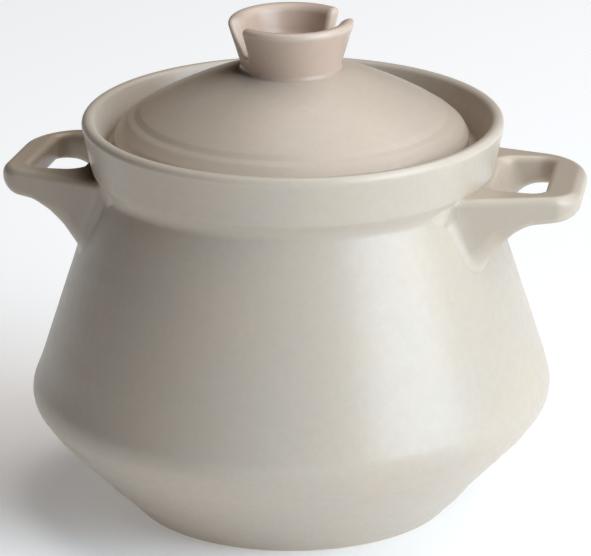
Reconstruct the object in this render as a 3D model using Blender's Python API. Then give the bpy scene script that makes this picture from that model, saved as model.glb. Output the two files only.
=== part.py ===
"""A lidded stoneware stew pot: turned pot, two lug handles, a lid that lifts off and its slotted cup knob.

Metres, +Z up. The origin is the middle of the foot, on the surface that the pot stands on.
The handles lie along +X and -X. The lid and its knob slide up along Z out of the seat inside the rim.
"""

import math

import bmesh
import bpy
from mathutils import Vector

# Turned pieces
SEGMENTS = 48          # facets round the pot and the lid
KNOB_SEGMENTS = 40
ARC_STEP = math.radians(30)   # most that one facet of a rounded corner turns
FIT_GAP = 0.0003       # between pieces that touch on the real pot

# Pot, outside
FOOT_RADIUS = 0.0670
FOOT_RING_RADIUS = 0.0590     # inner edge of the flat ring that the pot stands on
FOOT_RECESS = 0.0015
CREASE_RADIUS, CREASE_HEIGHT = 0.1010, 0.0350
BELLY_RADIUS, BELLY_HEIGHT = 0.1112, 0.0489   # where the two cones would meet before rounding
NECK_RADIUS, NECK_HEIGHT = 0.0810, 0.1426     # top of the upper cone
COLLAR_RADIUS, COLLAR_HEIGHT = 0.0846, 0.1480 # lower edge of the collar, which stands out over the cone
LIP_RADIUS, LIP_HEIGHT = 0.0891, 0.1690       # outside and top of the rounded lip
LIP_THICKNESS = 0.0054
LIP_ROUND = LIP_THICKNESS / 2 - 0.0001        # leaves a narrow flat on top of the lip

# Pot, inside
WALL = 0.0070
FLOOR_THICKNESS = 0.0080
SEAT_HEIGHT = 0.1550          # ledge that the lid rests on
SEAT_OUTER_RADIUS = 0.0775
SEAT_INNER_RADIUS = 0.0685
LEDGE_THICKNESS = 0.0060

# Handles
RIGHT_REACH, LEFT_REACH = 0.1234, 0.1204      # from the pot's axis to the tip
HANDLE_LIFT = 0.0007          # the right handle sits this much above the heights below, the left one under
HANDLE_TOP = 0.1466
HANDLE_ROOT = 0.0720          # the loft starts inside the wall and is cut back to the pot
HANDLE_ROOT_HALF_WIDTH = 0.0414
HANDLE_TIP_HALF_WIDTH = 0.0280
BACK_CORNER, FRONT_CORNER = 0.0172, 0.0095    # rounding of the outline's two outer corners
HANDLE_SWING = math.radians(3.1)      # each handle is set this far towards the back
TOP_EDGE = 0.0040             # rounding of the long upper edges and of the tip's upper edge
UNDER_EDGE = 0.0022
TIP_UNDER_EDGE = 0.0050
BRACE_EDGE = 0.0070           # rounding of the brace's two lower corners
BRACE_EDGE_RUN = 0.0130       # distance over which the rounding grows from the loop's to the brace's
UNDERSIDE_HEIGHT = 0.1344     # of the loop, where the brace starts
UNDERSIDE_SLOPE = 0.06        # rise of the loop's underside towards the tip
BRACE_BEND = 0.1026           # distance from the axis at which the underside turns down into the brace
BRACE_SLOPE = 0.83            # drop of the brace's underside per distance towards the pot
BRACE_SKEW = 0.0050           # on the back face the brace starts this much nearer to the pot
BEND_SOFTNESS = 0.0010
FINGER_HOLE_INNER, FINGER_HOLE_OUTER = 0.0882, 0.1083
FINGER_HOLE_HEIGHT = 0.1400   # at which the inner distance above is measured
FINGER_HOLE_LEAN = 0.33       # the inner face leans out downwards, like the pot's wall
FINGER_HOLE_HALF_WIDTH = 0.0240
FINGER_HOLE_NARROWING = 0.0020        # of the half width, from the outer face to the inner one
FINGER_HOLE_CORNER = 0.0058
FINGER_HOLE_BOTTOM = 0.1200   # the cutter runs from here, below the loop, up past the top face
FINGER_HOLE_OVERRUN = 0.0050

# Lid
LID_RADIUS, LID_EDGE_TOP = 0.0742, 0.1612
SHOULDER_RADIUS, SHOULDER_HEIGHT = 0.0724, 0.1645
BAND_RADIUS, BAND_HEIGHT = 0.0676, 0.1683     # inner edge of the sloping band round the dome
GROOVE_RADIUS, GROOVE_HEIGHT = 0.0655, 0.1686
RIDGE_RADIUS, RIDGE_HEIGHT = 0.0632, 0.1712   # foot of the dome
LID_TOP = 0.1898
DOME_BULGE, UNDERSIDE_BULGE = 0.0015, 0.0045
LID_WALL = 0.0062
SKIRT_RADIUS, SKIRT_DEPTH = 0.0668, 0.0070

# Knob
KNOB_BASE_RADIUS = 0.0200
KNOB_RIM_RADIUS = 0.0268
KNOB_TOP = 0.2110
KNOB_FLOOR = 0.1965
KNOB_RIM_THICKNESS = 0.0062
SLOT_BOTTOM = 0.1978
SLOT_TOP_WIDTH = 0.0135
SLOT_BOTTOM_WIDTH = 0.0040
SLOT_DIRECTION = math.radians(48.5)   # of each slot's upright side, from +X

# Glaze colours, linear
POT_COLOUR = (0.66, 0.60, 0.53, 1.0)
HANDLE_COLOUR = (0.65, 0.59, 0.52, 1.0)
LID_COLOUR = (0.67, 0.60, 0.53, 1.0)
KNOB_COLOUR = (0.66, 0.58, 0.51, 1.0)


def clear_scene():
    for obj in list(bpy.data.objects):
        bpy.data.objects.remove(obj, do_unlink=True)


def glaze(name, colour, roughness):
    material = bpy.data.materials.new(name)
    material.use_nodes = True
    shader = material.node_tree.nodes["Principled BSDF"]
    shader.inputs["Base Color"].default_value = colour
    shader.inputs["Roughness"].default_value = roughness
    shader.inputs["Metallic"].default_value = 0.0
    return material


def add_object(name, mesh_builder, material=None):
    """Turns a finished bmesh into an object whose faces point out."""
    bmesh.ops.recalc_face_normals(mesh_builder, faces=mesh_builder.faces)
    mesh = bpy.data.meshes.new(name)
    mesh_builder.to_mesh(mesh)
    mesh_builder.free()
    mesh.shade_smooth()
    mesh.set_sharp_from_angle(angle=math.radians(40))
    if material:
        mesh.materials.append(material)
    obj = bpy.data.objects.new(name, mesh)
    bpy.context.scene.collection.objects.link(obj)
    return obj


def rounded(outline):
    """Replaces each (r, z, radius) corner of an outline with an arc of that radius."""
    points = []
    for index, (r, z, radius) in enumerate(outline):
        corner = Vector((r, z))
        if radius == 0:
            points.append(corner)
            continue
        before = (Vector(outline[index - 1][:2]) - corner).normalized()
        after = (Vector(outline[(index + 1) % len(outline)][:2]) - corner).normalized()
        half = before.angle(after) / 2
        centre = corner + (before + after).normalized() * radius / math.sin(half)
        start = corner + before * radius / math.tan(half) - centre
        turn = start.angle_signed(corner + after * radius / math.tan(half) - centre)
        steps = max(2, math.ceil(abs(turn) / ARC_STEP))
        for step in range(steps + 1):
            angle = -turn * step / steps
            swung = Vector((
                start.x * math.cos(angle) - start.y * math.sin(angle),
                start.x * math.sin(angle) + start.y * math.cos(angle),
            ))
            points.append(centre + swung)
    return points


def ring(mesh_builder, radius, height, segments):
    return [
        mesh_builder.verts.new((
            radius * math.cos(math.tau * step / segments),
            radius * math.sin(math.tau * step / segments),
            height,
        ))
        for step in range(segments)
    ]


def bridge(mesh_builder, lower, upper):
    """Quads between two rings, or a fan where one of them is a single point."""
    count = max(len(lower), len(upper))
    for step in range(count):
        following = (step + 1) % count
        if len(lower) == 1:
            mesh_builder.faces.new((lower[0], upper[following], upper[step]))
        elif len(upper) == 1:
            mesh_builder.faces.new((lower[step], lower[following], upper[0]))
        else:
            mesh_builder.faces.new(
                (lower[step], lower[following], upper[following], upper[step])
            )


def turned(outline, segments):
    """A solid of revolution from an outline that starts and ends on the axis."""
    mesh_builder = bmesh.new()
    rings = [
        [mesh_builder.verts.new((0, 0, z))] if r < 1e-6 else ring(mesh_builder, r, z, segments)
        for r, z in rounded(outline)
    ]
    for lower, upper in zip(rings, rings[1:]):
        bridge(mesh_builder, lower, upper)
    return mesh_builder


def pot_outside():
    """Outline from the foot's outer edge up to the lip."""
    return [
        (FOOT_RADIUS, 0.0, 0.0015),
        (CREASE_RADIUS, CREASE_HEIGHT, 0.0040),
        (BELLY_RADIUS, BELLY_HEIGHT, 0.0140),
        (NECK_RADIUS, NECK_HEIGHT, 0.0040),
        (COLLAR_RADIUS, COLLAR_HEIGHT, 0.0040),
        (LIP_RADIUS, LIP_HEIGHT, LIP_ROUND),
    ]


def make_pot(material):
    inside = [
        (LIP_RADIUS - LIP_THICKNESS, LIP_HEIGHT, LIP_ROUND),
        (SEAT_OUTER_RADIUS, SEAT_HEIGHT, 0.0012),
        (SEAT_INNER_RADIUS, SEAT_HEIGHT, 0.0010),
        (SEAT_INNER_RADIUS, SEAT_HEIGHT - LEDGE_THICKNESS, 0.0020),
        (NECK_RADIUS - WALL, NECK_HEIGHT - 0.0010, 0.0060),
        (BELLY_RADIUS - WALL - 0.0010, BELLY_HEIGHT, 0.0090),
        (CREASE_RADIUS - WALL - 0.0010, CREASE_HEIGHT + 0.0020, 0.0060),
        (FOOT_RADIUS - 0.0050, FLOOR_THICKNESS, 0.0080),
        (0.0, FLOOR_THICKNESS, 0.0),
    ]
    foot = [
        (0.0, FOOT_RECESS, 0.0),
        (FOOT_RING_RADIUS - 0.0010, FOOT_RECESS, 0.0),
        (FOOT_RING_RADIUS, 0.0, 0.0),
    ]
    add_object("pot_body", turned(foot + pot_outside() + inside, SEGMENTS), material)


def pot_clearance():
    """A plug of the pot's outer shape, wider by the fit gap, that cuts the handles back."""
    outside = [(r + FIT_GAP, z, radius) for r, z, radius in pot_outside()]
    return [(0.0, 0.0, 0.0)] + outside[:-1] + [
        (LIP_RADIUS + FIT_GAP, LIP_HEIGHT, 0.0),
        (0.0, LIP_HEIGHT, 0.0),
    ]


def brace_underside(reach):
    """Height of the handle's underside at a distance from the pot's axis."""
    loop = UNDERSIDE_HEIGHT + UNDERSIDE_SLOPE * (reach - BRACE_BEND)
    brace = UNDERSIDE_HEIGHT + BRACE_SLOPE * (reach - BRACE_BEND)
    return (loop + brace) / 2 - math.hypot((loop - brace) / 2, BEND_SOFTNESS)


def lower_edge(reach):
    """Rounding of the long lower edges: small under the loop, growing down the brace."""
    share = min(max((BRACE_BEND - reach) / BRACE_EDGE_RUN, 0.0), 1.0)
    return UNDER_EDGE + (BRACE_EDGE - UNDER_EDGE) * share


def rounded_off(past, radius):
    """How far a quarter round has fallen away at this distance past its start."""
    if past <= 0:
        return 0.0
    return radius - math.sqrt(max(radius**2 - past**2, 0.0))


def handle_section(reach, tip):
    """Height of the handle's top at a distance from the axis, and two (half width, underside height).

    The first pair is for the handle's back and the second for its front.
    """
    share = (reach - HANDLE_ROOT) / (tip - HANDLE_ROOT)
    half_width = HANDLE_ROOT_HALF_WIDTH + (HANDLE_TIP_HALF_WIDTH - HANDLE_ROOT_HALF_WIDTH) * share
    top = HANDLE_TOP - rounded_off(reach - (tip - TOP_EDGE), TOP_EDGE)
    raised = rounded_off(reach - (tip - TIP_UNDER_EDGE), TIP_UNDER_EDGE)
    back = (
        half_width - rounded_off(reach - (tip - BACK_CORNER), BACK_CORNER),
        brace_underside(reach + BRACE_SKEW) + raised,
    )
    front = (
        half_width - rounded_off(reach - (tip - FRONT_CORNER), FRONT_CORNER),
        brace_underside(reach) + raised,
    )
    return top, back, front


def handle_reaches(tip):
    """Stations of the loft, closer together where the outline bends."""
    root = [HANDLE_ROOT]
    brace = [BRACE_BEND - past for past in (0.0190, 0.0130, 0.0085, 0.0060, 0.0035, 0.0010, -0.0025)]
    corner_start = tip - BACK_CORNER
    corner = [corner_start + BACK_CORNER * math.sin(math.radians(turn)) for turn in (12, 24, 36)]
    end = [tip - TIP_UNDER_EDGE * (1 - math.sin(math.radians(turn))) for turn in (0, 20, 40, 60, 90)]
    return root + brace + corner + end


def handle_loft(tip, back_side):
    """One handle along +X as far as tip. back_side is the sign of Y on the side of the pot's back."""
    mesh_builder = bmesh.new()
    rings = []
    for reach in handle_reaches(tip):
        top, back, front = handle_section(reach, tip)
        (plus, plus_under), (minus, minus_under) = (back, front) if back_side > 0 else (front, back)
        depth = top - max(plus_under, minus_under)
        shrink = min(1.0, (depth - 0.0002) / (TOP_EDGE + lower_edge(reach)))
        upper = TOP_EDGE * shrink
        lower = lower_edge(reach) * shrink
        corners = (
            (plus - upper, top - upper, upper, 0),
            (upper - minus, top - upper, upper, 90),
            (lower - minus, minus_under + lower, lower, 180),
            (plus - lower, plus_under + lower, lower, 270),
        )
        rings.append([
            mesh_builder.verts.new((
                reach,
                y + edge * math.cos(math.radians(start + turn)),
                z + edge * math.sin(math.radians(start + turn)),
            ))
            for y, z, edge, start in corners
            for turn in (0, 30, 60, 90)
        ])
    for lower_ring, upper_ring in zip(rings, rings[1:]):
        bridge(mesh_builder, lower_ring, upper_ring)
    mesh_builder.faces.new(list(reversed(rings[0])))
    mesh_builder.faces.new(rings[-1])
    return mesh_builder


def finger_hole():
    """Prism through the loop. Its inner face leans out with the pot's wall."""
    mesh_builder = bmesh.new()
    rings = []
    inner_half_width = FINGER_HOLE_HALF_WIDTH - FINGER_HOLE_NARROWING
    for height in (HANDLE_TOP + FINGER_HOLE_OVERRUN, FINGER_HOLE_BOTTOM):
        inner = FINGER_HOLE_INNER + FINGER_HOLE_LEAN * (FINGER_HOLE_HEIGHT - height)
        outline = rounded([
            (inner, -inner_half_width, FINGER_HOLE_CORNER),
            (FINGER_HOLE_OUTER, -FINGER_HOLE_HALF_WIDTH, FINGER_HOLE_CORNER),
            (FINGER_HOLE_OUTER, FINGER_HOLE_HALF_WIDTH, FINGER_HOLE_CORNER),
            (inner, inner_half_width, FINGER_HOLE_CORNER),
        ])
        rings.append([mesh_builder.verts.new((x, y, height)) for x, y in outline])
    bridge(mesh_builder, *rings)
    mesh_builder.faces.new(rings[0])
    mesh_builder.faces.new(list(reversed(rings[1])))
    return mesh_builder


def as_cutter(obj):
    obj.hide_render = True
    obj.display_type = "WIRE"
    return obj


def cut(obj, cutter):
    modifier = obj.modifiers.new("cut_" + cutter.name, "BOOLEAN")
    modifier.operation = "DIFFERENCE"
    modifier.solver = "EXACT"
    modifier.object = cutter


def make_handles(material):
    plug = as_cutter(add_object("pot_clearance", turned(pot_clearance(), SEGMENTS)))
    for name, angle, tip, back_side, lift in (
        ("handle_right", HANDLE_SWING, RIGHT_REACH, 1, HANDLE_LIFT),
        ("handle_left", math.pi - HANDLE_SWING, LEFT_REACH, -1, -HANDLE_LIFT),
    ):
        handle = add_object(name, handle_loft(tip, back_side), material)
        hole = as_cutter(add_object(name + "_hole", finger_hole()))
        for obj in (handle, hole):
            obj.rotation_euler.z = angle
            obj.location.z = lift
        cut(handle, hole)
        cut(handle, plug)


def dome(radius, height, top_radius, top_height, bulge, steps):
    """Points of a gently bulging slope from its outer edge up to its flat top."""
    points = []
    for step in range(1, steps):
        share = step / steps
        r = radius + (top_radius - radius) * share
        z = height + (top_height - height) * share + bulge * 4 * share * (1 - share)
        points.append((r, z, 0.0))
    return points


def make_lid(material):
    top = [(0.0, LID_TOP, 0.0), (KNOB_BASE_RADIUS + 0.0010, LID_TOP, 0.0)]
    slope = dome(RIDGE_RADIUS, RIDGE_HEIGHT, KNOB_BASE_RADIUS + 0.0010, LID_TOP, DOME_BULGE, 7)
    seat = SEAT_HEIGHT + FIT_GAP
    edge = [
        (RIDGE_RADIUS, RIDGE_HEIGHT, 0.0010),
        (GROOVE_RADIUS, GROOVE_HEIGHT, 0.0010),
        (BAND_RADIUS, BAND_HEIGHT, 0.0015),
        (SHOULDER_RADIUS, SHOULDER_HEIGHT, 0.0040),
        (LID_RADIUS, LID_EDGE_TOP, 0.0030),
        (LID_RADIUS, seat, 0.0012),
        (SKIRT_RADIUS, seat, 0.0008),
        (SKIRT_RADIUS - 0.0010, SEAT_HEIGHT - SKIRT_DEPTH, 0.0015),
        (SKIRT_RADIUS - 0.0060, SEAT_HEIGHT - SKIRT_DEPTH, 0.0015),
    ]
    under_radius = RIDGE_RADIUS - LID_WALL
    under_height = RIDGE_HEIGHT - LID_WALL
    underside = [(under_radius, under_height, 0.0050)]
    underside += list(reversed(dome(
        0.0, LID_TOP - LID_WALL, under_radius, under_height, UNDERSIDE_BULGE, 5
    )))
    underside.append((0.0, LID_TOP - LID_WALL, 0.0))
    outline = top + list(reversed(slope)) + edge + underside
    return add_object("lid", turned(outline, SEGMENTS), material)


def knob_slot():
    """Cutter for one slot: upright on one side, slanted on the other, round at the bottom."""
    mesh_builder = bmesh.new()
    above = 0.0040
    run = (SLOT_TOP_WIDTH - SLOT_BOTTOM_WIDTH) / (KNOB_TOP - SLOT_BOTTOM)
    outline = rounded([
        (0.0, SLOT_BOTTOM, 0.0012),
        (0.0, KNOB_TOP + above, 0.0),
        (-SLOT_TOP_WIDTH - run * above, KNOB_TOP + above, 0.0),
        (-SLOT_BOTTOM_WIDTH, SLOT_BOTTOM, 0.0012),
    ])
    rings = [
        [mesh_builder.verts.new((x, y, z)) for y, z in outline]
        for x in (0.0080, 0.0400)
    ]
    bridge(mesh_builder, *rings)
    mesh_builder.faces.new(rings[0])
    mesh_builder.faces.new(list(reversed(rings[1])))
    return mesh_builder


def make_knob(material):
    base = LID_TOP + FIT_GAP
    rim_inner = KNOB_RIM_RADIUS - KNOB_RIM_THICKNESS
    outline = [
        (0.0, base, 0.0),
        (KNOB_BASE_RADIUS, base, 0.0),
        (KNOB_BASE_RADIUS + 0.0012, base + 0.0055, 0.0100),
        (KNOB_RIM_RADIUS, KNOB_TOP, 0.0022),
        (rim_inner, KNOB_TOP, 0.0022),
        (KNOB_BASE_RADIUS - 0.0050, KNOB_FLOOR, 0.0050),
        (0.0, KNOB_FLOOR, 0.0),
    ]
    knob = add_object("lid_knob", turned(outline, KNOB_SEGMENTS), material)
    for name, angle in (("slot_a", 0.0), ("slot_b", math.pi)):
        slot = as_cutter(add_object("knob_" + name, knob_slot()))
        slot.rotation_euler.z = SLOT_DIRECTION + angle
        cut(knob, slot)
    return knob


def main():
    clear_scene()
    make_pot(glaze("pot_glaze", POT_COLOUR, 0.45))
    make_handles(glaze("handle_glaze", HANDLE_COLOUR, 0.45))
    lift = bpy.data.objects.new("lid_lift", None)
    bpy.context.scene.collection.objects.link(lift)
    make_lid(glaze("lid_glaze", LID_COLOUR, 0.45)).parent = lift
    make_knob(glaze("knob_glaze", KNOB_COLOUR, 0.45)).parent = lift


main()
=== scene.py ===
"""Look of a lidded stoneware stew pot: a turned pot and lid, two luted handles and a slotted cup knob.

Shapes are worked out in millimetres in the CAD frame and turned into metres when a mesh is made.
The pot and the lid are solids of revolution. The handles and the knob are distance fields, negative in the
clay, so that their edges are rounded and they run into the clay below them with a fillet.
"""

import math

import bpy
import numpy as np
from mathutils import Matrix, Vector


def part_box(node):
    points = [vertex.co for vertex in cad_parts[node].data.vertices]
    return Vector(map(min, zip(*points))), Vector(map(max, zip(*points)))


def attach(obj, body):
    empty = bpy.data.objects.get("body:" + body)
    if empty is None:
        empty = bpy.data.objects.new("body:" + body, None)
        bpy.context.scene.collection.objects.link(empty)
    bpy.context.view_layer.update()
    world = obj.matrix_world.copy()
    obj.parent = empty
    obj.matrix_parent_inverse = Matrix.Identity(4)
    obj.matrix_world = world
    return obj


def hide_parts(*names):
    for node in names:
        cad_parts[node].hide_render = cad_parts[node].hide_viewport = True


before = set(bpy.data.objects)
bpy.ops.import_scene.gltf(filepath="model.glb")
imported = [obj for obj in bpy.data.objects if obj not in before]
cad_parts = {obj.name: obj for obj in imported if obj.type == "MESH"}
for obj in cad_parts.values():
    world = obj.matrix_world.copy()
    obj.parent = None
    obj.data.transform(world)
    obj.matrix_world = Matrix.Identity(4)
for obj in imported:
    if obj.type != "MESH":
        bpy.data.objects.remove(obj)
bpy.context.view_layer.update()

MM = 0.001


def box_mm(node):
    """The low and the high corner of a CAD node's box, in millimetres."""
    low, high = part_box(node)
    return np.array(low) / MM, np.array(high) / MM


# Sizes are in millimetres. A pair is a point of an outline: distance from the axis, height.
# A name that ends in EDGE, CORNER or FILLET is the radius of a rounding.

# Pot
LIP_TOP = box_mm("pot_body")[1][2]
LIP_RADIUS, LIP_THICKNESS = 89.0, 5.4
FOOT_RADIUS, FOOT_RING, FOOT_RECESS = 67.0, 59.0, 1.5
CREASE = (102.0, 36.4)
BELLY = (111.2, 48.9)
NECK = (81.0, 142.4)         # top of the upper cone
COLLAR = (84.5, 147.8)       # lower edge of the collar
NECK_CORNER, COLLAR_EDGE = 6.0, 5.0
SEAT, SEAT_RADIUS = 155.0, 77.5
LEDGE_RADIUS, LEDGE_THICKNESS = 68.5, 6.0
WALL, NECK_WALL, BOTTOM = 8.0, 7.0, 8.0
EVEN_RADIUS, EVEN_FADE = 77.0, 3.0              # the pot is perfectly round inside this
OFF_AXIS_BELOW, OFF_AXIS_ABOVE = -0.9, 0.6      # how far off the axis the two cones were thrown
OFF_AXIS_CHANGE = (42.0, 64.0)                  # heights between which the one turns into the other
OFF_AXIS_HEADING = 0.2                          # radians from +X
INSET = 0.22                 # keeps the uneven outside within the CAD's box

# Handles. Their heights are those at HANDLE_MIDDLE from the axis, and their widths are half widths.
RIGHT_BOX = box_mm("handle_right")
LEFT_BOX = box_mm("handle_left")
HANDLE_MIDDLE = 100.0
HANDLE_TOP, TOP_SLOPE = 146.6, -0.01
LOOP_UNDERSIDE, LOOP_SLOPE, BRACE_SLOPE = 134.3, 0.07, 1.16
UNDERSIDE_SKEW = 5.0         # the underside lies this much further in at the back than at the front
UNDERSIDE_CORNER = 4.0       # between the loop and the brace
ROOT_RADIUS, ROOT_WIDTH, TIP_WIDTH = 80.0, 39.4, 28.0
BACK_CORNER, FRONT_CORNER = 19.0, 9.5
TOP_EDGE, TOP_EDGE_SOFT = 2.8, 4.4
LOOP_EDGE, BRACE_EDGE, TIP_MORE = 2.2, 8.5, 3.0      # TIP_MORE is added to LOOP_EDGE at the tip
HOLE_OUTER, HOLE_INNER, HOLE_LEAN = 108.4, 88.0, 0.40
HOLE_MIDDLE_HEIGHT = 140.0
HOLE_WIDTH, HOLE_TAPER = 23.235, 0.09
HOLE_CORNER, HOLE_SIDE_CORNER, HOLE_EDGE = 6.2, 6.5, 2.6

# Lid and knob
LID_TOP = box_mm("lid")[1][2]
LID_RADIUS = 74.2
LID_FLAT = 21.0              # radius of the flat top, below the knob
RIDGE = (63.1, 171.3)        # foot of the dome
DOME_BULGE = 1.5
DOME_COSINE = 0.93           # of the dome's slope beside the knob
SEAT_GAP = 0.3
SKIRT_OUTER, SKIRT_INNER, SKIRT_DEPTH = 65.8, 60.8, 7.0
KNOB_TOP = box_mm("lid_knob")[1][2]
KNOB_FOOT, KNOB_RIM, KNOB_EDGE = 20.3, 26.8, 2.9
CUP_RADIUS, CUP_SLOPE, CUP_FLOOR, CUP_CORNER = 20.6, 0.30, 196.8, 5.0
SLOT_BOTTOM, SLOT_BOTTOM_WIDTH, SLOT_TOP_WIDTH = 197.4, 3.6, 13.6
SLOT_START, SLOT_CORNER, SLOT_EDGE = 6.0, 1.8, 2.0
SLOT_DIRECTIONS = (48.43, 228.43)      # degrees from +X

# Where a field's surface runs out over the clay below it
SINK = 0.06                  # its thin edge ends this far below the surface that it lies on
HANDLE_SKIN_DIP = 1.2        # and a handle's edge dips this much further
HANDLE_SKIN_REACH, HANDLE_DEPTH = 8.0, 3.0          # how far out it runs, and how deep the root goes
KNOB_FILLET, KNOB_SKIN_REACH, KNOB_DEPTH = 2.2, 4.5, 3.2
SKIN_MARGIN = 16.0           # room round a handle's box, past the end of its skin

# Fineness of the meshes
SEGMENTS = 256               # round the pot and the lid
POT_STEP, LID_STEP = 2.6, 2.2          # longest stretch of their outlines
HANDLE_CELL, KNOB_CELL = 0.85, 0.62    # cells of the fields' grids

FORM_GAIN = 3.0              # contrast of the form values, which lighten edges and darken grooves in the glaze colour, partly as painted highlight and painted shade

# Glaze colours, sRGB from 0 to 255
POT_WARM, POT_COOL = (191, 178, 162), (188, 178, 165)
LID_WARM, LID_COOL = (190, 174, 157), (188, 174, 159)
KNOB_WARM, KNOB_COOL = (193, 168, 151), (190, 169, 153)
MOTTLE, SPECK = (168, 152, 135), (144, 125, 106)
# lighter on convex edges and darker in hollows: partly thin and gathered glaze, partly painted highlight
# and painted shade
THIN_GLAZE_AND_HIGHLIGHT, GATHERED_GLAZE_AND_SHADE = (212, 200, 184), (150, 130, 112)
CLAY_DARK, CLAY_LIGHT = (196, 176, 150), (226, 212, 190)
# painted shade: multiplies the handles' glaze colour away from the pot
HANDLE_PAINTED_SHADE = (0.88, 0.85, 0.82)

# Camera: angles in degrees, lengths in metres, lens in millimetres
CAMERA_AZIMUTH, CAMERA_ELEVATION, CAMERA_ROLL = 11.43, 19.14, -0.20
CAMERA_DISTANCE, CAMERA_LENS = 2.054, 296.5
AIM_SIDE, AIM_HEIGHT = 0.0015, 0.0969
LIGHTS_AIM = Vector((0, 0, 0.11))


# ---------------------------------------------------------------- shapes

def ramp(value, start, end):
    """0 before start, 1 after end, with a soft rise between."""
    share = np.clip((value - start) / (end - start), 0, 1)
    return share * share * (3 - 2 * share)


def rounded(outline, step=7.0):
    """Replaces each (r, z, radius) corner of an outline with an arc of that radius, step in degrees."""
    points = []
    for index, (r, z, radius) in enumerate(outline):
        corner = np.array((r, z), float)
        if radius == 0:
            points.append(corner)
            continue
        before = np.array(outline[index - 1][:2]) - corner
        after = np.array(outline[(index + 1) % len(outline)][:2]) - corner
        before /= np.linalg.norm(before)
        after /= np.linalg.norm(after)
        half = math.acos(np.clip(before @ after, -1, 1)) / 2
        middle = before + after
        centre = corner + middle / np.linalg.norm(middle) * radius / math.sin(half)
        start = corner + before * radius / math.tan(half) - centre
        end = corner + after * radius / math.tan(half) - centre
        first = math.atan2(start[1], start[0])
        turn = (math.atan2(end[1], end[0]) - first + math.pi) % math.tau - math.pi
        steps = max(3, math.ceil(abs(math.degrees(turn)) / step))
        for angle in first + turn * np.arange(steps + 1) / steps:
            points.append(centre + radius * np.array((math.cos(angle), math.sin(angle))))
    return np.array(points)


def resampled(points, step):
    """The same line with no stretch longer than step."""
    out = [points[0]]
    for start, end in zip(points, points[1:]):
        length = np.linalg.norm(end - start)
        if length < 1e-6:
            continue
        parts = max(1, math.ceil(length / step))
        out += [start + (end - start) * part / parts for part in range(1, parts + 1)]
    return np.array(out)


def outline_form(points, reach=1.6):
    """How convex (+) or hollow (-) an outline is at each point, smoothed along it, from -1 to 1."""
    step = np.linalg.norm(np.diff(points, axis=0), axis=1)
    along = np.concatenate([[0], np.cumsum(step)])
    heading = np.unwrap(np.arctan2(*np.diff(points, axis=0).T[::-1]))
    bend = np.zeros(len(points))
    bend[1:-1] = np.diff(heading)
    weight = np.exp(-((along[:, None] - along[None, :]) / reach) ** 2)
    area = reach * 1.77      # below the weight's bell
    return np.clip((weight * bend).sum(1) / area * FORM_GAIN, -1, 1)


def mesh_object(name, points, faces, form, materials, face_slots=None):
    mesh = bpy.data.meshes.new(name)
    mesh.from_pydata((points * MM).tolist(), [], faces)
    mesh.update()
    point_values(mesh, "form", form)
    for material in materials:
        mesh.materials.append(material)
    if face_slots is not None:
        mesh.polygons.foreach_set("material_index", face_slots)
    mesh.shade_smooth()
    obj = bpy.data.objects.new(name, mesh)
    bpy.context.scene.collection.objects.link(obj)
    return obj


def point_values(mesh, name, values):
    """One number for each point of a mesh, which a material reads by this name."""
    attribute = mesh.attributes.new(name, "FLOAT", "POINT")
    attribute.data.foreach_set("value", values.astype(np.float32))


def turned(name, outline, materials, step, unevenness=None, raw_below=None):
    """A solid of revolution from an outline that starts and ends on the axis, going round anticlockwise.

    Faces that lie wholly below raw_below have the second material.
    """
    line = resampled(rounded(outline), step)
    form = outline_form(line)
    theta = np.arange(SEGMENTS) * math.tau / SEGMENTS
    points, forms, rings = [], [], []
    for (r, z), value in zip(line, form):
        if r < 1e-6:
            rings.append([len(points)])
            points.append((0.0, 0.0, z))
            forms.append(value)
            continue
        radius = r + (unevenness(theta, z, r) if unevenness else 0.0) * np.ones(SEGMENTS)
        rings.append(list(range(len(points), len(points) + SEGMENTS)))
        points += list(zip(radius * np.cos(theta), radius * np.sin(theta), np.full(SEGMENTS, z)))
        forms += [value] * SEGMENTS
    faces, slots = [], []
    for index, (low, high) in enumerate(zip(rings, rings[1:])):
        raw = raw_below is not None and max(line[index][1], line[index + 1][1]) < raw_below
        for here in range(SEGMENTS):
            following = (here + 1) % SEGMENTS
            if len(low) == 1:
                faces.append((low[0], high[following], high[here]))
            elif len(high) == 1:
                faces.append((low[here], low[following], high[0]))
            else:
                faces.append((low[here], low[following], high[following], high[here]))
            slots.append(int(raw))
    return mesh_object(name, np.array(points), faces, np.array(forms), materials, slots)


def inside_both(a, b, radius):
    """Where two fields overlap, with the edge between them rounded."""
    return np.minimum(-radius, np.maximum(a, b)) + np.hypot(
        np.maximum(radius + a, 0), np.maximum(radius + b, 0)
    )


def either(a, b, radius):
    """Two fields joined, with a fillet in the corner between them."""
    return np.maximum(radius, np.minimum(a, b)) - np.hypot(
        np.maximum(radius - a, 0), np.maximum(radius - b, 0)
    )


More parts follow.
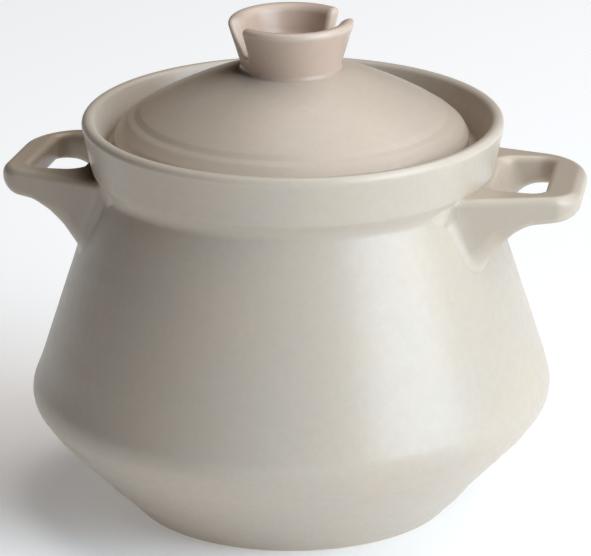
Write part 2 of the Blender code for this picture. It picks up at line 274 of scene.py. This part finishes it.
def surface_of(field, low, high, cell):
    """Quads over the zero surface of a field, from a grid of cells, and how convex it is at each point."""
    counts = np.ceil((np.array(high) - low) / cell).astype(int) + 1
    lines = [low[k] + cell * np.arange(counts[k]) for k in range(3)]
    grid = np.stack(np.meshgrid(*lines, indexing="ij"), -1).reshape(-1, 3)
    values = field(grid).reshape(counts)
    inside = values < 0
    cells = tuple(counts - 1)
    total = np.zeros(cells + (3,))
    hits = np.zeros(cells)
    crossings = []
    for axis in range(3):
        u, v = (axis + 1) % 3, (axis + 2) % 3
        near = [slice(None)] * 3
        far = [slice(None)] * 3
        near[axis], far[axis] = slice(0, -1), slice(1, None)
        a, b = values[tuple(near)], values[tuple(far)]
        cross = (a < 0) != (b < 0)
        share = np.where(cross, a / np.where(cross, a - b, 1), 0)
        for du in (0, 1):
            for dv in (0, 1):
                part = [slice(None)] * 3
                part[u] = slice(du, du + cells[u])
                part[v] = slice(dv, dv + cells[v])
                part = tuple(part)
                total[..., axis] += share[part]
                total[..., u] += cross[part] * du
                total[..., v] += cross[part] * dv
                hits += cross[part]
        edges = np.argwhere(cross)
        within_u = (edges[:, u] > 0) & (edges[:, u] < counts[u] - 1)
        within_v = (edges[:, v] > 0) & (edges[:, v] < counts[v] - 1)
        edges = edges[within_u & within_v]
        crossings.append((u, v, edges, inside[tuple(edges.T)]))
    # one point in each cell that the surface passes, at the mean of its crossings
    found = np.argwhere(hits > 0)
    where = tuple(found.T)
    points = np.array(low) + cell * (found + total[where] / hits[where][:, None])
    number = np.full(cells, -1)
    number[where] = np.arange(len(found))
    # one quad round each edge of the grid that crosses the surface
    quads = []
    for u, v, edges, solid_below in crossings:
        corners = []
        for du, dv in ((-1, -1), (0, -1), (0, 0), (-1, 0)):
            at = edges.copy()
            at[:, u] += du
            at[:, v] += dv
            corners.append(number[tuple(at.T)])
        quad = np.stack(corners, 1)
        quad[~solid_below] = quad[~solid_below][:, ::-1]
        quads.append(quad)
    quads = np.concatenate(quads)
    points = evened(field, points, quads, cell)
    return points, quads, field_form(field, points)


def evened(field, points, quads, cell, rounds=4):
    """Points spread evenly over the surface. Each goes halfway to its neighbours' mean, then back on it."""
    ends = np.concatenate([quads[:, [k, (k + 1) % 4]] for k in range(4)])
    count = len(points)
    degree = np.maximum(np.bincount(ends[:, 0], minlength=count), 1)
    for _ in range(rounds):
        mean = np.stack([
            np.bincount(ends[:, 0], weights=points[ends[:, 1], k], minlength=count) for k in range(3)
        ], 1) / degree[:, None]
        points = points + 0.5 * (mean - points)
        points = onto(field, points, cell)
    return onto(field, points, cell)


def onto(field, points, cell, nudge=0.02):
    """Each point moved along the field's slope to its zero surface."""
    value = field(points)
    slope = np.stack([
        (field(points + nudge * axis) - field(points - nudge * axis)) / (2 * nudge) for axis in np.eye(3)
    ], 1)
    size = np.maximum((slope**2).sum(1), 0.05)
    return points - slope * np.clip(value / size, -cell, cell)[:, None]


def field_form(field, points, spread=1.4):
    """How convex (+) or hollow (-) a field's surface is at each point, from -1 to 1."""
    around = sum(field(points + sign * spread * axis) for axis in np.eye(3) for sign in (-1, 1))
    form = (around - 6 * field(points)) / spread**2 * FORM_GAIN
    return np.clip(form, -1, 1)


def turned_axes(points, degrees):
    """Distances of points along a direction, given in degrees from +X, and to the left of it."""
    turn = math.radians(degrees)
    along = points[:, 0] * math.cos(turn) + points[:, 1] * math.sin(turn)
    left = points[:, 1] * math.cos(turn) - points[:, 0] * math.sin(turn)
    return along, left


# ---------------------------------------------------------------- pot

def pot_unevenness(theta, height, radius):
    """Radial unevenness of the hand-finished pot, and none inside the rim, where the lid has to fit."""
    outside = np.clip((radius - EVEN_RADIUS) / EVEN_FADE, 0, 1)
    waves = 0.10 * np.sin(2 * theta + 0.6 + height / 90.0) + 0.05 * np.sin(3 * theta - height / 40.0)
    rings = 0.025 * np.sin(height / 1.9) + 0.02 * np.sin(height / 3.1 + theta)
    offset = OFF_AXIS_BELOW + (OFF_AXIS_ABOVE - OFF_AXIS_BELOW) * ramp(height, *OFF_AXIS_CHANGE)
    # the foot lies nearer the axis than the cone above it
    offset = offset * np.clip(height / 8.0, 0.4, 1)
    return outside * (waves + rings + offset * np.cos(theta - OFF_AXIS_HEADING) - INSET)


def outside_of(radius, height, start, end):
    """Distance outwards from the cone through two (r, z) points of an outline that runs upwards."""
    run, rise = end[0] - start[0], end[1] - start[1]
    return ((radius - start[0]) * rise - (height - start[1]) * run) / math.hypot(run, rise)


def pot_outer_field(points):
    """Distance from the pot's outside near the neck, negative in the clay."""
    radius = np.hypot(points[:, 0], points[:, 1])
    theta = np.arctan2(points[:, 1], points[:, 0])
    height = points[:, 2]
    radius = radius - pot_unevenness(theta, height, radius)
    cone = outside_of(radius, height, BELLY, NECK)
    step = outside_of(radius, height, NECK, COLLAR)
    collar = outside_of(radius, height, COLLAR, (LIP_RADIUS, LIP_TOP))
    return either(cone, inside_both(step, collar, COLLAR_EDGE), NECK_CORNER)


def make_pot(glaze, clay):
    lip_edge = LIP_THICKNESS / 2 - 0.02      # a little less than a full half circle
    outline = [
        # underside
        (0.0, FOOT_RECESS, 0.0),
        (FOOT_RING - 1.0, FOOT_RECESS, 0.6),
        (FOOT_RING, 0.0, 0.4),
        (FOOT_RADIUS, 0.0, 1.5),
        # outside
        (*CREASE, 2.5),
        (*BELLY, 14.0),
        (*NECK, NECK_CORNER),
        (*COLLAR, COLLAR_EDGE),
        (LIP_RADIUS, LIP_TOP, lip_edge),
        # inside
        (LIP_RADIUS - LIP_THICKNESS, LIP_TOP, lip_edge),
        (SEAT_RADIUS, SEAT, 1.6),
        (LEDGE_RADIUS, SEAT, 1.2),
        (LEDGE_RADIUS, SEAT - LEDGE_THICKNESS, 2.5),
        (NECK[0] - NECK_WALL, NECK[1] - 1.0, 8.0),
        (BELLY[0] - WALL, BELLY[1], 14.0),
        (CREASE[0] - WALL, CREASE[1] + 2.0, 8.0),
        (FOOT_RADIUS - 5.0, BOTTOM, 14.0),
        (0.0, BOTTOM, 0.0),
    ]
    pot = turned("pot_clay", outline, [glaze, clay], POT_STEP, pot_unevenness, raw_below=1.4)
    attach(pot, "pot")
    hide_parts("pot_body")


# ---------------------------------------------------------------- handles

def handle_field(points, direction, tip, lift):
    """A lug handle with its finger hole.

    direction is in degrees from +X, tip is its end's distance from the axis, and lift raises it all.
    """
    x, back = turned_axes(points, direction)
    if abs(direction) > 90:
        back = -back         # back is positive towards the far side of the pot, on either handle
    z = points[:, 2] - lift

    taper = (ROOT_WIDTH - TIP_WIDTH) / (tip - ROOT_RADIUS)
    width = TIP_WIDTH + taper * (tip - x)
    scale = math.hypot(1, taper)
    plan = inside_both(x - tip, (back - width) / scale, BACK_CORNER)
    plan = inside_both(plan, (-back - width) / scale, FRONT_CORNER)

    # the upper edge is crisp at the front and rounder at the back and the tip
    top = z - HANDLE_TOP - TOP_SLOPE * (x - HANDLE_MIDDLE)
    soft = np.maximum(ramp(back, -20.0, 10.0), ramp(x, tip - 12.0, tip - 2.0))
    body = inside_both(plan, top, TOP_EDGE + (TOP_EDGE_SOFT - TOP_EDGE) * soft)

    # underside: nearly flat below the loop, then down a slanting brace with a rounder edge
    along = x + UNDERSIDE_SKEW * np.clip((back + 35.0) / 70.0, 0, 1.1)
    loop = LOOP_UNDERSIDE + LOOP_SLOPE * (along - HANDLE_MIDDLE) - z
    brace = (LOOP_UNDERSIDE + BRACE_SLOPE * (along - HANDLE_MIDDLE) - z) / math.hypot(1, BRACE_SLOPE)
    edge = BRACE_EDGE + (LOOP_EDGE - BRACE_EDGE) * ramp(along, 89.0, 101.0)
    edge = edge + TIP_MORE * ramp(x, tip - 10.0, tip)
    body = inside_both(body, either(loop, brace, UNDERSIDE_CORNER), edge)

    inner = (HOLE_INNER + HOLE_LEAN * (HOLE_MIDDLE_HEIGHT - z) - x) / math.hypot(1, HOLE_LEAN)
    hole = inside_both(inner, x - HOLE_OUTER, HOLE_CORNER)
    hole_width = HOLE_WIDTH + HOLE_TAPER * (x - HANDLE_MIDDLE)
    hole = inside_both(hole, np.abs(back) - hole_width, HOLE_SIDE_CORNER)
    return inside_both(body, -hole, HOLE_EDGE)


def make_handle(name, node, box, glaze, direction, tip, lift):
    """A handle with the fillet at its root, which thins out to a skin just below the pot's surface."""
    def field(points):
        wall = pot_outer_field(points)
        lug = handle_field(points, direction, tip, lift)
        fillet = 2.6 + 0.4 * ramp(points[:, 2], 124.0, 140.0)
        skin = wall + SINK + HANDLE_SKIN_DIP * ramp(lug, 3.1, 7.5)
        joined = either(lug, skin, fillet)
        return np.maximum(np.maximum(joined, lug - HANDLE_SKIN_REACH), -wall - HANDLE_DEPTH)

    low, high = box
    points, quads, form = surface_of(field, low - SKIN_MARGIN, high + SKIN_MARGIN, HANDLE_CELL)
    lug = mesh_object(name, points, quads.tolist(), form, [glaze])
    # the away value, 0 at the pot's surface and 1 from 7 mm out, drives painted shade in the handles' glaze
    point_values(lug.data, "away", ramp(pot_outer_field(points), 0.3, 7.0))
    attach(lug, "pot")
    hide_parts(node)


# ---------------------------------------------------------------- lid and knob

def lid_slope(r):
    """Height of the lid's upper face."""
    share = np.clip((RIDGE[0] - r) / (RIDGE[0] - LID_FLAT), 0, 1.0)
    return RIDGE[1] + (LID_TOP - RIDGE[1]) * share + DOME_BULGE * 4 * share * (1 - share)


def make_lid(glaze):
    step = 1.5
    seat = SEAT + SEAT_GAP
    under = [
        # hollow below the dome
        (0.0, 183.6, 0.0),
        (20.0, 182.2, 30.0),
        (40.0, 175.6, 20.0),
        (57.0, 165.0, 8.0),
        # skirt
        (SKIRT_INNER, SEAT - SKIRT_DEPTH, 1.8),
        (SKIRT_OUTER, SEAT - SKIRT_DEPTH, 1.8),
        (SKIRT_OUTER + 1.0, seat, 0.8),
        # outer band, and the groove between it and the dome
        (LID_RADIUS, seat, 1.4),
        (LID_RADIUS, 161.0, 3.4),
        (72.3, 164.5, 5.0),
        (68.0, 168.15, 6.0),
        (65.4, 169.45, 3.5),
        (*RIDGE, 4.0),
    ]
    dome = [(r, float(lid_slope(r)), 0.0) for r in np.arange(LID_FLAT, RIDGE[0] - step, step)]
    outline = under + dome[::-1] + [(0.0, LID_TOP, 0.0)]
    lid = turned("lid_clay", outline, [glaze], LID_STEP)
    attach(lid, "lid")
    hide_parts("lid")


def slot_field(points, direction):
    """A notch through the knob's wall: upright on one side, slanted on the other, round at the bottom."""
    out, side = turned_axes(points, direction)
    height = points[:, 2] - SLOT_BOTTOM
    lean = (SLOT_TOP_WIDTH - SLOT_BOTTOM_WIDTH) / (KNOB_TOP - SLOT_BOTTOM)
    slanted = (-side - SLOT_BOTTOM_WIDTH - lean * height) / math.hypot(1, lean)
    notch = inside_both(np.maximum(side, slanted), -height, SLOT_CORNER)
    return np.maximum(notch, SLOT_START - out)


def knob_field(points):
    """A flared cup with two slots."""
    radius = np.hypot(points[:, 0], points[:, 1])
    z = points[:, 2]
    flare = (KNOB_RIM - KNOB_FOOT) / (KNOB_TOP - LID_TOP)
    outer = (radius - KNOB_FOOT - flare * (z - LID_TOP)) / math.hypot(1, flare)
    solid = inside_both(outer, z - KNOB_TOP, KNOB_EDGE)
    inner = (radius - CUP_RADIUS + CUP_SLOPE * (KNOB_TOP - z)) / math.hypot(1, CUP_SLOPE)
    cup = inside_both(inner, CUP_FLOOR - z, CUP_CORNER)
    knob = inside_both(solid, -cup, KNOB_EDGE)
    for direction in SLOT_DIRECTIONS:
        knob = inside_both(knob, -slot_field(points, direction), SLOT_EDGE)
    return knob


def make_knob(glaze):
    """The knob with the fillet at its foot, which thins out just below the lid's surface."""
    def field(points):
        lid = (points[:, 2] - lid_slope(np.hypot(points[:, 0], points[:, 1]))) * DOME_COSINE
        knob = knob_field(points)
        joined = either(knob, lid + SINK, KNOB_FILLET)
        return np.maximum(np.maximum(joined, knob - KNOB_SKIN_REACH), -lid - KNOB_DEPTH)

    reach = 31.0
    low = np.array((-reach, -reach, LID_TOP - 8.0))
    high = np.array((reach, reach, KNOB_TOP + 1.5))
    points, quads, form = surface_of(field, low, high, KNOB_CELL)
    knob = mesh_object("knob_clay", points, quads.tolist(), form, [glaze])
    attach(knob, "lid")
    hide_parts("lid_knob")


# ---------------------------------------------------------------- materials

class Nodes:
    """Short hand for building one material's node tree."""

    def __init__(self, name):
        self.material = bpy.data.materials.new(name)
        self.material.use_nodes = True
        self.tree = self.material.node_tree
        self.shader = self.tree.nodes["Principled BSDF"]

    def give(self, socket, value):
        """Links a socket to another node's output, or sets it to a plain value."""
        if isinstance(value, bpy.types.NodeSocket):
            self.tree.links.new(value, socket)
        else:
            socket.default_value = value

    def add(self, kind, inputs=None, **settings):
        node = self.tree.nodes.new("ShaderNode" + kind)
        for key, value in settings.items():
            setattr(node, key, value)
        for key, value in (inputs or {}).items():
            self.give(node.inputs[key], value)
        return node

    def shade(self, inputs):
        for key, value in inputs.items():
            self.give(self.shader.inputs[key], value)

    def noise(self, place, scale, detail, roughness=0.5):
        return self.add(
            "TexNoise", {"Vector": place, "Scale": scale, "Detail": detail, "Roughness": roughness}
        ).outputs["Fac"]

    def ranged(self, value, low, high, to_low, to_high):
        """The value with its range low to high spread over the range to_low to to_high."""
        return self.add("MapRange", {
            "Value": value, "From Min": low, "From Max": high, "To Min": to_low, "To Max": to_high,
        }).outputs["Result"]

    def attribute(self, name):
        return self.add("Attribute", attribute_name=name).outputs["Fac"]

    def mix(self, share, a, b, blend="MIX"):
        node = self.add("Mix", data_type="RGBA", blend_type=blend)
        # by number, because several sockets are named A, B and Result, and these are the ones for colours
        for number, value in ((0, share), (6, a), (7, b)):
            self.give(node.inputs[number], value)
        return node.outputs[2]

    def bump(self, height, strength):
        node = self.add("Bump", {"Height": height, "Strength": strength, "Distance": 0.0002})
        return node.outputs["Normal"]


def linear(red, green, blue):
    """An sRGB colour of 0 to 255 as linear RGBA."""
    out = []
    for value in (red, green, blue):
        value /= 255
        out.append(value / 12.92 if value <= 0.04045 else ((value + 0.055) / 1.055) ** 2.4)
    return (*out, 1.0)


def glaze_material(name, offset, warm, cool, away_painted_shade=None):
    """Mottled satin glaze.

    offset moves the pattern, so that each piece has its own. warm and cool lie in broad clouds. The last
    argument is a painted shade: it multiplies the colour where the mesh's away value is 1, darkening a
    handle away from the pot.
    """
    nodes = Nodes(name)
    place = nodes.add("TexCoord").outputs["Object"]
    place = nodes.add("VectorMath", {0: place, 1: offset}, operation="ADD").outputs["Vector"]
    form = nodes.attribute("form")

    clouds = nodes.noise(place, scale=22.0, detail=3.0)
    mottle = nodes.noise(place, scale=260.0, detail=4.0, roughness=0.6)
    grain = nodes.noise(place, scale=1500.0, detail=2.0)
    specks = nodes.add("TexVoronoi", {"Vector": place, "Scale": 420.0}, feature="F1").outputs["Distance"]

    colour = nodes.mix(nodes.ranged(clouds, 0.35, 0.65, 0, 1), linear(*warm), linear(*cool))
    # painted shade: the handles get darker the further they reach from the pot
    if away_painted_shade:
        colour = nodes.mix(nodes.attribute("away"), colour, (*away_painted_shade, 1.0), "MULTIPLY")
    colour = nodes.mix(nodes.ranged(mottle, 0.35, 0.70, 0, 0.18), colour, linear(*MOTTLE))
    colour = nodes.mix(nodes.ranged(specks, 0.13, 0.07, 0, 0.30), colour, linear(*SPECK))
    # the glaze runs thin over an edge and gathers in a groove; the lighter edges are partly painted
    # highlight and the darker grooves partly painted shade
    colour = nodes.mix(nodes.ranged(form, 0.20, 1.0, 0, 0.20), colour, linear(*THIN_GLAZE_AND_HIGHLIGHT))
    colour = nodes.mix(nodes.ranged(form, -0.30, -1.0, 0, 0.35), colour, linear(*GATHERED_GLAZE_AND_SHADE))

    peel = nodes.noise(place, scale=170.0, detail=2.0)
    height = nodes.add("Math", {0: peel, 1: grain}, operation="ADD").outputs[0]
    nodes.shade({
        "Base Color": colour,
        "Roughness": nodes.ranged(mottle, 0.3, 0.7, 0.30, 0.37),
        "Normal": nodes.bump(height, strength=0.06),
        "IOR": 1.5,
    })
    return nodes.material


def clay_material():
    """Bare clay, for the ring that the pot stands on and the recess inside it."""
    nodes = Nodes("bare_clay")
    place = nodes.add("TexCoord").outputs["Object"]
    grain = nodes.noise(place, scale=900.0, detail=5.0, roughness=0.7)
    nodes.shade({
        "Base Color": nodes.mix(
            nodes.ranged(grain, 0.3, 0.7, 0, 1), linear(*CLAY_DARK), linear(*CLAY_LIGHT)
        ),
        "Roughness": 0.85,
        "Normal": nodes.bump(grain, strength=0.5),
    })
    return nodes.material


# ---------------------------------------------------------------- studio

def from_camera_side(turn, elevation, distance, target):
    """A place round the target. turn is in degrees to the right of the camera, as the camera sees it."""
    a = math.radians(CAMERA_AZIMUTH + turn)
    e = math.radians(elevation)
    towards = Vector((math.sin(a) * math.cos(e), -math.cos(a) * math.cos(e), math.sin(e)))
    return target + towards * distance


def area_light(name, turn, elevation, distance, width, height, power, colour):
    light = bpy.data.lights.new(name, "AREA")
    light.shape = "RECTANGLE"
    light.size, light.size_y = width, height
    light.energy = power
    light.color = colour
    obj = bpy.data.objects.new(name, light)
    bpy.context.scene.collection.objects.link(obj)
    obj.location = from_camera_side(turn, elevation, distance, LIGHTS_AIM)
    obj.rotation_euler = (LIGHTS_AIM - obj.location).to_track_quat("-Z", "Y").to_euler()


def make_floor():
    reach = 6.0
    corners = [(x * reach, y * reach, 0) for x, y in ((-1, -1), (1, -1), (1, 1), (-1, 1))]
    mesh = bpy.data.meshes.new("floor")
    mesh.from_pydata(corners, [], [(0, 1, 2, 3)])
    floor = bpy.data.objects.new("floor", mesh)
    bpy.context.scene.collection.objects.link(floor)
    nodes = Nodes("floor_white")
    nodes.shade({
        "Base Color": (0.86, 0.86, 0.86, 1),
        "Roughness": 0.9,
        "Emission Color": (1, 1, 1, 1),
        "Emission Strength": 0.21,
    })
    mesh.materials.append(nodes.material)


def make_studio():
    make_floor()
    world = bpy.data.worlds.new("studio")
    world.use_nodes = True
    background = world.node_tree.nodes["Background"]
    background.inputs["Color"].default_value = (1.0, 0.70, 0.45, 1)
    background.inputs["Strength"].default_value = 0.02
    bpy.context.scene.world = world
    bpy.context.scene.view_settings.view_transform = "Standard"
    area_light(
        "key", turn=56, elevation=24, distance=3.0,
        width=2.4, height=2.8, power=130, colour=(0.77, 0.89, 1.0),
    )
    area_light(
        "back", turn=108, elevation=68, distance=3.0,
        width=3.0, height=3.0, power=68, colour=(1.0, 0.96, 0.93),
    )


def make_camera():
    camera = bpy.data.cameras.new("camera")
    camera.sensor_width = 36.0
    camera.lens = CAMERA_LENS
    camera.clip_start, camera.clip_end = 0.05, 50
    obj = bpy.data.objects.new("camera", camera)
    bpy.context.scene.collection.objects.link(obj)
    a = math.radians(CAMERA_AZIMUTH)
    aim = Vector((AIM_SIDE * math.cos(a), AIM_SIDE * math.sin(a), AIM_HEIGHT))
    obj.location = from_camera_side(0, CAMERA_ELEVATION, CAMERA_DISTANCE, aim)
    obj.rotation_euler = (aim - obj.location).to_track_quat("-Z", "Y").to_euler()
    obj.rotation_euler.rotate_axis("Z", math.radians(CAMERA_ROLL))
    bpy.context.scene.camera = obj


make_camera()
make_studio()
make_pot(glaze_material("stoneware_glaze_pot", (0.0, 0.0, 0.0), POT_WARM, POT_COOL), clay_material())
handle_glaze = glaze_material("stoneware_glaze_handles", (0.0, 0.0, 0.0), POT_WARM, POT_COOL, HANDLE_PAINTED_SHADE)
make_handle("lug_right", "handle_right", RIGHT_BOX, handle_glaze, direction=3.1, tip=123.3, lift=0.7)
make_handle("lug_left", "handle_left", LEFT_BOX, handle_glaze, direction=176.9, tip=120.3, lift=-0.7)
make_lid(glaze_material("stoneware_glaze_lid", (0.7, 0.2, 0.4), LID_WARM, LID_COOL))
make_knob(glaze_material("stoneware_glaze_knob", (0.1, 0.9, 0.6), KNOB_WARM, KNOB_COOL))
